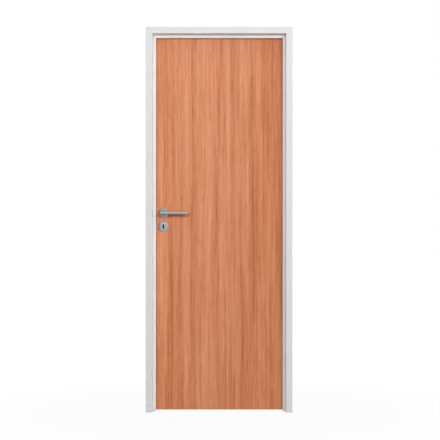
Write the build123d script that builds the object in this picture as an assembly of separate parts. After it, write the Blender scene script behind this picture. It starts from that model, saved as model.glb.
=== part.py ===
from build123d import *
import os

# Leaf: two face skins on a frame of stiles and rails (all sizes in mm)
LEAF_WIDTH = 700.0
LEAF_HEIGHT = 2000.0
LEAF_THICKNESS = 40.0
SKIN = 3.0
SKIN_ARRIS = 0.6
STILE_WIDTH = 36.0
RAIL_HEIGHT = 60.0
LOCK_EDGE_BEVEL = 2.0

# Gaps round the closed leaf
SIDE_GAP = 5.0
HEAD_GAP = 5.0
FLOOR_GAP = 6.0
SEAL_GAP = 5.0

# Frame: one pressed steel section, mitred at the head
SHEET = 1.5
BEND_RADIUS = 2.0
FACE = 34.0
FRONT_REBATE = 45.0
STOP_WIDTH = 20.0
STOP_HEIGHT = 16.0
RETURN = 14.0

# Seal behind the stop
SEAL_WIDTH = 9.0
SEAL_RUN_CLEARANCE = 0.5
SEAL_FROM_STOP_EDGE = 3.0
SEAL_ROUND = 2.0

# Floor anchors in the foot of each jamb
ANCHOR_PLATE = 3.0
ANCHOR_WIDTH = 30.0
ANCHOR_UPSTAND = 45.0
ANCHOR_HOLE_RADIUS = 5.0
ANCHOR_HOLE_SPACING = 60.0

# Wall fixing holes through the rear rebate of each jamb
WALL_HOLE_RADIUS = 4.25
WALL_HOLE_LOW_Z = 500.0
WALL_HOLE_SPACING = 1000.0
WALL_HOLE_FROM_STOP = 22.0

# Butt hinges
HINGE_HEIGHT = 100.0
HINGE_PLATE = 3.0
HINGE_PLATE_WIDTH = 30.0
HINGE_FIT = 0.2
KNUCKLE_COUNT = 5
KNUCKLE_RADIUS = 7.0
KNUCKLE_GAP = 0.5
PIN_RADIUS = 4.0
PIN_FIT = 0.1
PIN_SETBACK = 8.0
PIN_HEAD_RADIUS = 6.0
PIN_HEAD_HEIGHT = 4.0
TOP_HINGE_FROM_TOP = 200.0
BOTTOM_HINGE_FROM_BOTTOM = 220.0
REINFORCEMENT_PLATE = 4.5
REINFORCEMENT_MARGIN = 20.0

# Mortice lock
BACKSET = 50.0
SPINDLE_Z = 1060.0
KEY_DROP = 73.0
CASE_THICKNESS = 16.0
CASE_DEPTH = 80.0
CASE_HEIGHT = 165.0
CASE_ABOVE_SPINDLE = 45.0
CASE_FIT = 0.5
CASE_WEB = 4.0
FOREND_HEIGHT = 235.0
FOREND_WIDTH = 20.0
FOREND_PLATE = 4.0
BOLT_FIT = 0.3
BOLT_LENGTH = 20.0
LATCH_WIDTH = 12.0
LATCH_HEIGHT = 18.0
DEAD_BOLT_WIDTH = 10.0
DEAD_BOLT_HEIGHT = 32.0
FOLLOWER_HOLE_RADIUS = 6.5

# Strike in the lock jamb
STRIKE_HEIGHT = 180.0
STRIKE_WIDTH = 24.0
STRIKE_FIT = 0.2
STRIKE_BOX_MARGIN = 3.0
STRIKE_BOX_DEPTH = 16.0
STRIKE_BOX_WALL = 1.5
STRIKE_MOUTH_MARGIN = 3.0

# Rosettes and key escutcheons
ROSE_RADIUS = 27.5
ROSE_THICKNESS = 8.0
ROSE_RIM = 4.0
ROSE_SHOULDER = 10.0
NECK_FIT = 0.3
SPINDLE_HOLE_RADIUS = 12.0
KEY_HOLE_RADIUS = 15.0
KEY_TOP_RADIUS = 4.5
KEY_FOOT_RADIUS = 4.4
KEY_LOBE_SPACING = 16.0
KEY_SLOT_WIDTH = 7.4

# Lever handles on a square spindle
GRIP_RADIUS = 9.5
GRIP_OFFSET = 52.0
GRIP_REACH = 135.0
GRIP_TAIL = 16.5
GRIP_TAIL_CUT = 31.0
GRIP_TAIL_TURN = 23.0
GRIP_END_CHAMFER = 1.0
NECK_RADIUS = 8.5
NECK_OFF_LEAF = 2.0
SPINDLE_SIDE = 8.0
SPINDLE_INTO_NECK = 22.0

# Where the planes and axes lie: x to the hinge side, y from front to rear, z up,
# with the origin in the middle of the hinge jamb's floor anchor
DEPTH = FRONT_REBATE + STOP_WIDTH + SEAL_GAP + LEAF_THICKNESS
FRONT_Y = -DEPTH / 2
REAR_Y = DEPTH / 2
STOP_FRONT = FRONT_REBATE
STOP_REAR = FRONT_REBATE + STOP_WIDTH
LEAF_FRONT_Y = REAR_Y - LEAF_THICKNESS
LEAF_MID_Y = REAR_Y - LEAF_THICKNESS / 2
HINGE_SOFFIT_X = -(SHEET + ANCHOR_WIDTH / 2)
LEAF_RIGHT_X = HINGE_SOFFIT_X - SIDE_GAP
LEAF_LEFT_X = LEAF_RIGHT_X - LEAF_WIDTH
LOCK_SOFFIT_X = LEAF_LEFT_X - SIDE_GAP
OUTER_RIGHT_X = HINGE_SOFFIT_X + FACE
OUTER_LEFT_X = LOCK_SOFFIT_X - FACE
LEAF_BOTTOM_Z = FLOOR_GAP
LEAF_TOP_Z = LEAF_BOTTOM_Z + LEAF_HEIGHT
HEAD_SOFFIT_Z = LEAF_TOP_Z + HEAD_GAP
OUTER_TOP_Z = HEAD_SOFFIT_Z + FACE
PIN_X = HINGE_SOFFIT_X - SIDE_GAP / 2
PIN_Y = REAR_Y + PIN_SETBACK
SPINDLE_X = LEAF_LEFT_X + BACKSET
KEY_Z = SPINDLE_Z - KEY_DROP
CASE_TOP_Z = SPINDLE_Z + CASE_ABOVE_SPINDLE
CASE_MID_Z = CASE_TOP_Z - CASE_HEIGHT / 2
LATCH_Z = SPINDLE_Z
DEAD_BOLT_Z = KEY_Z + DEAD_BOLT_HEIGHT / 4
HINGE_HEIGHTS = {
    "top": LEAF_TOP_Z - TOP_HINGE_FROM_TOP,
    "middle": (LEAF_TOP_Z - TOP_HINGE_FROM_TOP + LEAF_BOTTOM_Z + BOTTOM_HINGE_FROM_BOTTOM) / 2,
    "bottom": LEAF_BOTTOM_Z + BOTTOM_HINGE_FROM_BOTTOM,
}
HINGE_MITRE = Plane(origin=(HINGE_SOFFIT_X, 0, HEAD_SOFFIT_Z), z_dir=(1, 0, -1))
LOCK_MITRE = Plane(origin=(LOCK_SOFFIT_X, 0, HEAD_SOFFIT_Z), z_dir=(-1, 0, -1))


def block(x0, x1, y0, y1, z0, z1):
    """Box between two limits on each axis."""
    size = Box(abs(x1 - x0), abs(y1 - y0), abs(z1 - z0))
    return Pos((x0 + x1) / 2, (y0 + y1) / 2, (z0 + z1) / 2) * size


def rod_y(x, z, y0, y1, radius):
    """Round bar along y."""
    return Pos(x, (y0 + y1) / 2, z) * Rot(90, 0, 0) * Cylinder(radius, abs(y1 - y0))


def rod_x(y, z, x0, x1, radius):
    """Round bar along x."""
    return Pos((x0 + x1) / 2, y, z) * Rot(0, 90, 0) * Cylinder(radius, abs(x1 - x0))


def rod_z(x, y, z0, z1, radius):
    """Round bar along z."""
    return Pos(x, y, (z0 + z1) / 2) * Cylinder(radius, abs(z1 - z0))


def corners(sketch, points):
    """Corners of a section at the given points."""
    return [min(sketch.vertices(), key=lambda v: (Vector(v.X, v.Y) - Vector(*p)).length) for p in points]


def frame_section():
    """Section of a frame member: first axis outwards from the rebate, second back from the front."""
    seen = [
        (FACE, RETURN),
        (FACE, 0),
        (0, 0),
        (0, STOP_FRONT),
        (-STOP_HEIGHT, STOP_FRONT),
        (-STOP_HEIGHT, STOP_REAR),
        (0, STOP_REAR),
        (0, DEPTH),
        (FACE, DEPTH),
        (FACE, DEPTH - RETURN),
    ]
    hidden = [
        (FACE - SHEET, RETURN),
        (FACE - SHEET, SHEET),
        (SHEET, SHEET),
        (SHEET, STOP_FRONT + SHEET),
        (SHEET - STOP_HEIGHT, STOP_FRONT + SHEET),
        (SHEET - STOP_HEIGHT, STOP_REAR - SHEET),
        (SHEET, STOP_REAR - SHEET),
        (SHEET, DEPTH - SHEET),
        (FACE - SHEET, DEPTH - SHEET),
        (FACE - SHEET, DEPTH - RETURN),
    ]
    section = make_face(Polyline(*seen, *reversed(hidden), close=True))
    outward_bends = [1, 2, 4, 5, 7, 8]
    inward_bends = [3, 6]
    wide = [seen[i] for i in outward_bends] + [hidden[i] for i in inward_bends]
    tight = [hidden[i] for i in outward_bends] + [seen[i] for i in inward_bends]
    section = fillet(corners(section, wide), BEND_RADIUS)
    return fillet(corners(section, tight), BEND_RADIUS - SHEET)


def seal_section():
    """Section of the seal on the rear of the stop, rounded towards the leaf."""
    inner = SEAL_FROM_STOP_EDGE - STOP_HEIGHT
    outer = inner + SEAL_WIDTH
    nose = STOP_REAR + SEAL_GAP - SEAL_RUN_CLEARANCE
    outline = [(inner, STOP_REAR), (outer, STOP_REAR), (outer, nose), (inner, nose)]
    section = make_face(Polyline(*outline, close=True))
    return fillet(corners(section, outline[2:]), SEAL_ROUND)


def along_hinge_side(section):
    """Upright of a section at the hinge side, mitred at the head."""
    base = Plane(origin=(HINGE_SOFFIT_X, FRONT_Y, 0), x_dir=(1, 0, 0), z_dir=(0, 0, 1))
    upright = extrude(base * section, OUTER_TOP_Z)
    return split(upright, bisect_by=HINGE_MITRE, keep=Keep.TOP)


def along_lock_side(section):
    """Upright of a section at the lock side, mitred at the head."""
    top = Plane(origin=(LOCK_SOFFIT_X, FRONT_Y, OUTER_TOP_Z), x_dir=(-1, 0, 0), z_dir=(0, 0, -1))
    upright = extrude(top * section, OUTER_TOP_Z)
    return split(upright, bisect_by=LOCK_MITRE, keep=Keep.TOP)


def along_head(section):
    """Level bar of a section over the opening, mitred at both ends."""
    end = Plane(origin=(OUTER_RIGHT_X, FRONT_Y, HEAD_SOFFIT_Z), x_dir=(0, 0, 1), z_dir=(-1, 0, 0))
    bar = extrude(end * section, OUTER_RIGHT_X - OUTER_LEFT_X)
    bar = split(bar, bisect_by=HINGE_MITRE, keep=Keep.BOTTOM)
    return split(bar, bisect_by=LOCK_MITRE, keep=Keep.BOTTOM)


def wall_holes(soffit_x):
    """Cutters for the fixing holes through the rear rebate of a jamb."""
    y = FRONT_Y + STOP_REAR + WALL_HOLE_FROM_STOP
    heights = [WALL_HOLE_LOW_Z, WALL_HOLE_LOW_Z + WALL_HOLE_SPACING]
    return [rod_x(y, z, soffit_x - 2 * SHEET, soffit_x + 2 * SHEET, WALL_HOLE_RADIUS) for z in heights]


def foot_anchor(soffit_x, outward):
    """Angle on the floor inside a jamb, with its upstand against the rebates."""
    inside = soffit_x + outward * SHEET
    y0 = FRONT_Y + BEND_RADIUS
    y1 = REAR_Y - BEND_RADIUS
    anchor = block(inside, inside + outward * ANCHOR_WIDTH, y0, y1, 0, ANCHOR_PLATE)
    anchor += block(inside, inside + outward * ANCHOR_PLATE, y0, y1, 0, ANCHOR_UPSTAND)
    centre = inside + outward * ANCHOR_WIDTH / 2
    for y in (-ANCHOR_HOLE_SPACING / 2, ANCHOR_HOLE_SPACING / 2):
        anchor -= rod_z(centre, y, -ANCHOR_PLATE, 2 * ANCHOR_PLATE, ANCHOR_HOLE_RADIUS)
    return anchor


def knuckle_spans(z_mid, first):
    """Bottom and top of every second knuckle of a hinge, from the given one."""
    length = (HINGE_HEIGHT - (KNUCKLE_COUNT - 1) * KNUCKLE_GAP) / KNUCKLE_COUNT
    pitch = length + KNUCKLE_GAP
    bottom = z_mid - HINGE_HEIGHT / 2
    return [(bottom + i * pitch, bottom + i * pitch + length) for i in range(first, KNUCKLE_COUNT, 2)]


def hinge_plate(x0, x1, z_mid, first_knuckle):
    """Hinge leaf between two x limits, with its share of the knuckles."""
    z0 = z_mid - HINGE_HEIGHT / 2
    z1 = z_mid + HINGE_HEIGHT / 2
    plate = block(x0, x1, REAR_Y - HINGE_PLATE_WIDTH, REAR_Y, z0, z1)
    for low, high in knuckle_spans(z_mid, first_knuckle):
        plate += block(x0, x1, REAR_Y, PIN_Y, low, high)
        plate += rod_z(PIN_X, PIN_Y, low, high, KNUCKLE_RADIUS)
    return plate - rod_z(PIN_X, PIN_Y, z0 - 1, z1 + 1, PIN_RADIUS + PIN_FIT)


def hinge_pin(z_mid):
    """Pin with a head over the top knuckle and a tip under the bottom one."""
    z0 = z_mid - HINGE_HEIGHT / 2
    z1 = z_mid + HINGE_HEIGHT / 2
    pin = rod_z(PIN_X, PIN_Y, z0, z1, PIN_RADIUS)
    head = rod_z(PIN_X, PIN_Y, z1, z1 + PIN_HEAD_HEIGHT, PIN_HEAD_RADIUS)
    tip = rod_z(PIN_X, PIN_Y, z0 - PIN_HEAD_HEIGHT, z0, PIN_HEAD_RADIUS)
    head = fillet(head.edges().group_by(Axis.Z)[-1], PIN_HEAD_HEIGHT / 2)
    tip = fillet(tip.edges().group_by(Axis.Z)[0], PIN_HEAD_HEIGHT / 2)
    return pin + head + tip


def hinge_pocket(x0, x1, z_mid):
    """Cutter for a hinge leaf let in flush, open at the rear."""
    z0 = z_mid - HINGE_HEIGHT / 2 - HINGE_FIT
    z1 = z_mid + HINGE_HEIGHT / 2 + HINGE_FIT
    return block(x0, x1, REAR_Y - HINGE_PLATE_WIDTH - HINGE_FIT, REAR_Y + SHEET, z0, z1)


def hinge_reinforcement(z_mid):
    """Plate welded inside the hinge jamb, sunk so that the hinge leaf sits on it."""
    inside = HINGE_SOFFIT_X + SHEET
    z0 = z_mid - HINGE_HEIGHT / 2 - REINFORCEMENT_MARGIN
    z1 = z_mid + HINGE_HEIGHT / 2 + REINFORCEMENT_MARGIN
    y0 = FRONT_Y + STOP_REAR
    plate = block(inside, inside + REINFORCEMENT_PLATE, y0, REAR_Y - BEND_RADIUS, z0, z1)
    return plate - hinge_pocket(inside - SHEET, HINGE_SOFFIT_X + HINGE_PLATE, z_mid)


def bevel_lock_edge(piece):
    """Cut a piece of the leaf back to the lean of the lock edge."""
    lean = [
        (LEAF_LEFT_X, REAR_Y),
        (LEAF_LEFT_X + LOCK_EDGE_BEVEL, LEAF_FRONT_Y),
        (LEAF_LEFT_X - SIDE_GAP, LEAF_FRONT_Y),
        (LEAF_LEFT_X - SIDE_GAP, REAR_Y),
    ]
    wedge = extrude(make_face(Polyline(*lean, close=True)), OUTER_TOP_Z)
    return piece - wedge


def keyhole(y0, y1):
    """Cutter for the waisted keyhole: two round lobes joined by a narrower slot."""
    low = KEY_Z - KEY_LOBE_SPACING / 2
    high = KEY_Z + KEY_LOBE_SPACING / 2
    half = KEY_SLOT_WIDTH / 2
    cutter = rod_y(SPINDLE_X, high, y0, y1, KEY_TOP_RADIUS)
    cutter += rod_y(SPINDLE_X, low, y0, y1, KEY_FOOT_RADIUS)
    return cutter + block(SPINDLE_X - half, SPINDLE_X + half, y0, y1, low, high)


def rose(z, face_y, outward):
    """Round plate on one face of the leaf, flat in the middle and rounded down to its rim."""
    flat = ROSE_RADIUS - ROSE_SHOULDER
    shoulder = TangentArc((flat, ROSE_THICKNESS), (ROSE_RADIUS, ROSE_RIM), tangent=(1, 0))
    rest = Polyline((ROSE_RADIUS, ROSE_RIM), (ROSE_RADIUS, 0), (0, 0), (0, ROSE_THICKNESS), (flat, ROSE_THICKNESS))
    half = make_face([shoulder, rest])
    disc = revolve(Plane.XZ * half, Axis.Z)
    tilt = Rot(90, 0, 0) if outward < 0 else Rot(-90, 0, 0)
    return Pos(SPINDLE_X, face_y, z) * tilt * disc


def lever(face_y, outward):
    """Round bar lever: a level grip, its tail cut slanting and turned outwards, on a neck out of the rosette."""
    grip_y = face_y + outward * GRIP_OFFSET
    neck_y = face_y + outward * NECK_OFF_LEAF
    tail_x = SPINDLE_X - GRIP_TAIL
    tail_facing = Vector(-1, 0, 0).rotate(Axis.Y, GRIP_TAIL_CUT).rotate(Axis.Z, -outward * GRIP_TAIL_TURN)
    cut = Plane(origin=(tail_x, grip_y, SPINDLE_Z), z_dir=tail_facing)
    grip = rod_x(grip_y, SPINDLE_Z, tail_x - 2 * GRIP_RADIUS, SPINDLE_X + GRIP_REACH, GRIP_RADIUS)
    grip = split(grip, bisect_by=cut, keep=Keep.BOTTOM)
    ends = [edge for face in grip.faces().filter_by(GeomType.PLANE) for edge in face.edges()]
    grip = chamfer(ends, GRIP_END_CHAMFER)
    handle = grip + rod_y(SPINDLE_X, SPINDLE_Z, neck_y, grip_y, NECK_RADIUS)
    half = SPINDLE_SIDE / 2
    socket_end = neck_y + outward * SPINDLE_INTO_NECK
    socket = block(SPINDLE_X - half, SPINDLE_X + half, neck_y, socket_end, SPINDLE_Z - half, SPINDLE_Z + half)
    return handle - socket


nodes = {}

# Frame
hinge_jamb = along_hinge_side(frame_section())
for z_mid in HINGE_HEIGHTS.values():
    hinge_jamb -= hinge_pocket(HINGE_SOFFIT_X - SHEET, HINGE_SOFFIT_X + HINGE_PLATE + HINGE_FIT, z_mid)
for hole in wall_holes(HINGE_SOFFIT_X):
    hinge_jamb -= hole
nodes["hinge_jamb"] = hinge_jamb

strike_mid_z = (LATCH_Z + DEAD_BOLT_Z) / 2
strike_y0 = LEAF_MID_Y - STRIKE_WIDTH / 2
strike_y1 = LEAF_MID_Y + STRIKE_WIDTH / 2
strike_z0 = strike_mid_z - STRIKE_HEIGHT / 2
strike_z1 = strike_mid_z + STRIKE_HEIGHT / 2
strike_cutout = block(
    LOCK_SOFFIT_X - 2 * SHEET,
    LOCK_SOFFIT_X + SHEET,
    strike_y0 - STRIKE_FIT,
    strike_y1 + STRIKE_FIT,
    strike_z0 - STRIKE_FIT,
    strike_z1 + STRIKE_FIT,
)
lock_jamb = along_lock_side(frame_section()) - strike_cutout
for hole in wall_holes(LOCK_SOFFIT_X):
    lock_jamb -= hole
nodes["lock_jamb"] = lock_jamb
nodes["frame_head"] = along_head(frame_section())
nodes["hinge_side_seal"] = along_hinge_side(seal_section())
nodes["lock_side_seal"] = along_lock_side(seal_section())
nodes["head_seal"] = along_head(seal_section())
nodes["hinge_jamb_foot_anchor"] = foot_anchor(HINGE_SOFFIT_X, 1)
nodes["lock_jamb_foot_anchor"] = foot_anchor(LOCK_SOFFIT_X, -1)

strike_back_x = LOCK_SOFFIT_X - SHEET
strike_plate = block(strike_back_x, LOCK_SOFFIT_X, strike_y0, strike_y1, strike_z0, strike_z1)
strike_box = block(
    strike_back_x - STRIKE_BOX_DEPTH,
    strike_back_x,
    strike_y0 - STRIKE_BOX_MARGIN,
    strike_y1 + STRIKE_BOX_MARGIN,
    strike_z0 - STRIKE_BOX_MARGIN,
    strike_z1 + STRIKE_BOX_MARGIN,
)
for bolt_z, bolt_width, bolt_height in (
    (LATCH_Z, LATCH_WIDTH, LATCH_HEIGHT),
    (DEAD_BOLT_Z, DEAD_BOLT_WIDTH, DEAD_BOLT_HEIGHT),
):
    mouth = block(
        strike_back_x - STRIKE_BOX_DEPTH + STRIKE_BOX_WALL,
        LOCK_SOFFIT_X + SHEET,
        LEAF_MID_Y - bolt_width / 2 - STRIKE_MOUTH_MARGIN,
        LEAF_MID_Y + bolt_width / 2 + STRIKE_MOUTH_MARGIN,
        bolt_z - bolt_height / 2 - STRIKE_MOUTH_MARGIN,
        bolt_z + bolt_height / 2 + STRIKE_MOUTH_MARGIN,
    )
    strike_plate -= mouth
    strike_box -= mouth
nodes["strike_plate"] = strike_plate
nodes["strike_box"] = strike_box

# Hinges
for place, z_mid in HINGE_HEIGHTS.items():
    nodes[place + "_hinge_frame_leaf"] = hinge_plate(HINGE_SOFFIT_X, HINGE_SOFFIT_X + HINGE_PLATE, z_mid, 0)
    nodes[place + "_hinge_door_leaf"] = hinge_plate(LEAF_RIGHT_X - HINGE_PLATE, LEAF_RIGHT_X, z_mid, 1)
    nodes[place + "_hinge_pin"] = hinge_pin(z_mid)
    nodes[place + "_hinge_reinforcement"] = hinge_reinforcement(z_mid)

# Leaf
core_front_y = LEAF_FRONT_Y + SKIN
core_rear_y = REAR_Y - SKIN
door_pockets = [
    hinge_pocket(LEAF_RIGHT_X - HINGE_PLATE, LEAF_RIGHT_X + HINGE_PLATE, z_mid) for z_mid in HINGE_HEIGHTS.values()
]
spindle_hole = rod_y(SPINDLE_X, SPINDLE_Z, LEAF_FRONT_Y - SKIN, REAR_Y + SKIN, SPINDLE_HOLE_RADIUS)
key_hole = rod_y(SPINDLE_X, KEY_Z, LEAF_FRONT_Y - SKIN, REAR_Y + SKIN, KEY_HOLE_RADIUS)

front_skin = block(LEAF_LEFT_X, LEAF_RIGHT_X, LEAF_FRONT_Y, core_front_y, LEAF_BOTTOM_Z, LEAF_TOP_Z)
front_skin = bevel_lock_edge(front_skin)
front_skin = chamfer(front_skin.faces().sort_by(Axis.Y)[0].edges(), SKIN_ARRIS)
nodes["front_face_panel"] = front_skin - spindle_hole - key_hole

rear_skin = block(LEAF_LEFT_X, LEAF_RIGHT_X, core_rear_y, REAR_Y, LEAF_BOTTOM_Z, LEAF_TOP_Z)
rear_skin = bevel_lock_edge(rear_skin)
rear_skin = chamfer(rear_skin.faces().sort_by(Axis.Y)[-1].edges(), SKIN_ARRIS)
rear_skin = rear_skin - spindle_hole - key_hole
for pocket in door_pockets:
    rear_skin -= pocket
nodes["rear_face_panel"] = rear_skin

hinge_stile_x = LEAF_RIGHT_X - STILE_WIDTH
hinge_stile = block(hinge_stile_x, LEAF_RIGHT_X, core_front_y, core_rear_y, LEAF_BOTTOM_Z, LEAF_TOP_Z)
for pocket in door_pockets:
    hinge_stile -= pocket
nodes["hinge_stile"] = hinge_stile

case_front_x = LEAF_LEFT_X + FOREND_PLATE
case_y0 = LEAF_MID_Y - CASE_THICKNESS / 2
case_y1 = LEAF_MID_Y + CASE_THICKNESS / 2
forend_limits = (
    LEAF_MID_Y - FOREND_WIDTH / 2,
    LEAF_MID_Y + FOREND_WIDTH / 2,
    CASE_MID_Z - FOREND_HEIGHT / 2,
    CASE_MID_Z + FOREND_HEIGHT / 2,
)
forend = bevel_lock_edge(block(LEAF_LEFT_X, case_front_x, *forend_limits))
lock_stile_x = LEAF_LEFT_X + STILE_WIDTH
lock_stile = block(LEAF_LEFT_X, lock_stile_x, core_front_y, core_rear_y, LEAF_BOTTOM_Z, LEAF_TOP_Z)
lock_stile = bevel_lock_edge(lock_stile) - block(LEAF_LEFT_X - SIDE_GAP, case_front_x, *forend_limits)
lock_stile -= block(
    LEAF_LEFT_X,
    lock_stile_x + CASE_FIT,
    case_y0 - CASE_FIT,
    case_y1 + CASE_FIT,
    CASE_TOP_Z - CASE_HEIGHT - CASE_FIT,
    CASE_TOP_Z + CASE_FIT,
)
nodes["lock_stile"] = lock_stile
nodes["top_rail"] = block(
    lock_stile_x, hinge_stile_x, core_front_y, core_rear_y, LEAF_TOP_Z - RAIL_HEIGHT, LEAF_TOP_Z
)
nodes["bottom_rail"] = block(
    lock_stile_x, hinge_stile_x, core_front_y, core_rear_y, LEAF_BOTTOM_Z, LEAF_BOTTOM_Z + RAIL_HEIGHT
)

core = block(
    lock_stile_x,
    hinge_stile_x,
    core_front_y,
    core_rear_y,
    LEAF_BOTTOM_Z + RAIL_HEIGHT,
    LEAF_TOP_Z - RAIL_HEIGHT,
)
core -= block(
    LEAF_LEFT_X,
    case_front_x + CASE_DEPTH + CASE_FIT,
    case_y0 - CASE_FIT,
    case_y1 + CASE_FIT,
    CASE_TOP_Z - CASE_HEIGHT - CASE_FIT,
    CASE_TOP_Z + CASE_FIT,
)
nodes["leaf_core"] = core - spindle_hole - key_hole

# Lock
lock_case = block(
    case_front_x, case_front_x + CASE_DEPTH, case_y0, case_y1, CASE_TOP_Z - CASE_HEIGHT, CASE_TOP_Z
)
lock_case -= rod_y(SPINDLE_X, SPINDLE_Z, case_y0 - 1, case_y1 + 1, FOLLOWER_HOLE_RADIUS)
lock_case -= keyhole(case_y0 - 1, LEAF_MID_Y - CASE_WEB / 2)
lock_case -= keyhole(LEAF_MID_Y + CASE_WEB / 2, case_y1 + 1)
for name, bolt_z, bolt_width, bolt_height in (
    ("latch_bolt", LATCH_Z, LATCH_WIDTH, LATCH_HEIGHT),
    ("dead_bolt", DEAD_BOLT_Z, DEAD_BOLT_WIDTH, DEAD_BOLT_HEIGHT),
):
    half_y = bolt_width / 2
    half_z = bolt_height / 2
    bolt_end_x = LEAF_LEFT_X + BOLT_LENGTH
    channel = block(
        LEAF_LEFT_X - SIDE_GAP,
        bolt_end_x,
        LEAF_MID_Y - half_y - BOLT_FIT,
        LEAF_MID_Y + half_y + BOLT_FIT,
        bolt_z - half_z - BOLT_FIT,
        bolt_z + half_z + BOLT_FIT,
    )
    forend -= channel
    lock_case -= channel
    bolt = block(
        LEAF_LEFT_X, bolt_end_x, LEAF_MID_Y - half_y, LEAF_MID_Y + half_y, bolt_z - half_z, bolt_z + half_z
    )
    nodes[name] = bevel_lock_edge(bolt)
nodes["lock_case"] = lock_case
nodes["lock_forend"] = forend

# Furniture on both faces
for side, face_y, outward in (("front", LEAF_FRONT_Y, -1), ("rear", REAR_Y, 1)):
    through = (face_y - 2 * ROSE_THICKNESS, face_y + 2 * ROSE_THICKNESS)
    nodes[side + "_rosette"] = rose(SPINDLE_Z, face_y, outward) - rod_y(
        SPINDLE_X, SPINDLE_Z, *through, NECK_RADIUS + NECK_FIT
    )
    nodes[side + "_escutcheon"] = rose(KEY_Z, face_y, outward) - keyhole(*through)
    nodes[side + "_lever"] = lever(face_y, outward)

spindle_half = SPINDLE_SIDE / 2
spindle_reach = SPINDLE_INTO_NECK + NECK_OFF_LEAF
nodes["spindle"] = block(
    SPINDLE_X - spindle_half,
    SPINDLE_X + spindle_half,
    LEAF_FRONT_Y - spindle_reach,
    REAR_Y + spindle_reach,
    SPINDLE_Z - spindle_half,
    SPINDLE_Z + spindle_half,
)

os.makedirs("parts", exist_ok=True)
for name, piece in nodes.items():
    export_step(piece, "parts/" + name + ".step")
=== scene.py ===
"""Studio scene of a flush door: a wood-grained leaf in a mitred, pressed steel frame, with lever furniture."""

import logging
import math
from dataclasses import dataclass
from enum import Enum

import bpy
from mathutils import Matrix, Vector


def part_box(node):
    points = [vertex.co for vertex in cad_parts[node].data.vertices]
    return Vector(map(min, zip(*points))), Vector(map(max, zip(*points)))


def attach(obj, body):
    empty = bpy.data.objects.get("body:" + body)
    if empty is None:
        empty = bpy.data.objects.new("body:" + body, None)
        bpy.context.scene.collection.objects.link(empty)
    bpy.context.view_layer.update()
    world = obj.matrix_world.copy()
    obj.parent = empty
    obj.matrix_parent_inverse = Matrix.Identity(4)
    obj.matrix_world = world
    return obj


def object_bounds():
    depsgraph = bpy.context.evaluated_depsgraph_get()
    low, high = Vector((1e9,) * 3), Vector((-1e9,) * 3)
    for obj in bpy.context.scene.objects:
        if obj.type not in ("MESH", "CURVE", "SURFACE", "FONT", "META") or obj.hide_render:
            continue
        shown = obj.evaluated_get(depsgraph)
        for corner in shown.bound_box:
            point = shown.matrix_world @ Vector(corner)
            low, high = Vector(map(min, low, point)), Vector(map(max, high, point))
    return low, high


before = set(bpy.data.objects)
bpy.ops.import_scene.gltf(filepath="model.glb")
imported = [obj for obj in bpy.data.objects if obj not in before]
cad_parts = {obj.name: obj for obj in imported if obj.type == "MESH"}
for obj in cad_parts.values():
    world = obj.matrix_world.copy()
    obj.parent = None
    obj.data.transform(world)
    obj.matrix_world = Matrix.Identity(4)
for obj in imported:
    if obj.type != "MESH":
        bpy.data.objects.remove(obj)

CAD_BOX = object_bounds()
LOG = logging.getLogger("flush_door")
CENTRE = (Vector(CAD_BOX[0]) + Vector(CAD_BOX[1])) / 2.0
UP = Vector((0.0, 0.0, 1.0))
WHITE = "#FFFFFF"
NOISE_MEAN = 0.5
POLYMER_IOR = 1.5
# Faces whose normals agree by this cosine look the same way, and edges below this angle are shaded smooth.
SAME_WAY = 0.95
SMOOTH_BELOW = math.radians(35.0)
# Screws: how far they sit from the end of an upright plate, the first one's turn and each next one's.
SCREW_FROM_END = 0.011
FIRST_TWIST, TWIST_STEP = math.radians(23.0), math.radians(37.0)

Tree = bpy.types.NodeTree
Socket = bpy.types.NodeSocket
Triple = tuple[float, float, float]


class Grain(Enum):
    """Which way the fibres of a wooden piece run."""

    UPRIGHT = "upright"
    LEVEL = "level"


class Brushing(Enum):
    """How the scratches of the last abrasive run over a metal piece."""

    LEVEL = "along x"
    UPRIGHT = "along z"
    TURNED = "round the furniture's axis"


class Facing(Enum):
    """The way that a fixing's head looks."""

    LEFT = (-1.0, 0.0, 0.0)
    RIGHT = (1.0, 0.0, 0.0)
    DOWN = (0.0, 0.0, -1.0)


def linear(hex_colour: str) -> tuple[float, float, float, float]:
    """Turn an sRGB hex colour into the linear values that a shader takes.

    Args:
        hex_colour: six hex digits after a number sign.

    Returns:
        Linear red, green, blue and a full alpha.
    """
    channels = [int(hex_colour[i:i + 2], 16) / 255.0 for i in (1, 3, 5)]
    red, green, blue = [c / 12.92 if c <= 0.04045 else ((c + 0.055) / 1.055) ** 2.4 for c in channels]
    return (red, green, blue, 1.0)


def per_metre(across_mm: float, depth_mm: float, height_mm: float) -> Triple:
    """Turn a pattern's real size along x, y and z into scales for coordinates in metres."""
    return (1000.0 / across_mm, 1000.0 / depth_mm, 1000.0 / height_mm)


def add_node(tree: Tree, kind: str, inputs: dict | None = None, **settings: object) -> bpy.types.Node:
    """Add one shader node with its settings, and fill or link its inputs.

    Args:
        tree: the node tree that gets the node.
        kind: the node's Blender type.
        inputs: a value or another node's output socket for each input, by name or number.
        **settings: the node's own attributes.

    Returns:
        The new node.
    """
    node = tree.nodes.new(kind)
    for name, value in settings.items():
        setattr(node, name, value)
    for key, value in (inputs or {}).items():
        if isinstance(value, Socket):
            tree.links.new(value, node.inputs[key])
        else:
            node.inputs[key].default_value = value
    return node


def calc(tree: Tree, operation: str, *terms: Socket | float) -> Socket:
    """Work out one number of a material.

    Args:
        tree: the material's node tree.
        operation: the name of the sum.
        *terms: its sockets or numbers, in their order.

    Returns:
        The socket with the result.
    """
    return add_node(tree, "ShaderNodeMath", dict(enumerate(terms)), operation=operation).outputs[0]


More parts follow.
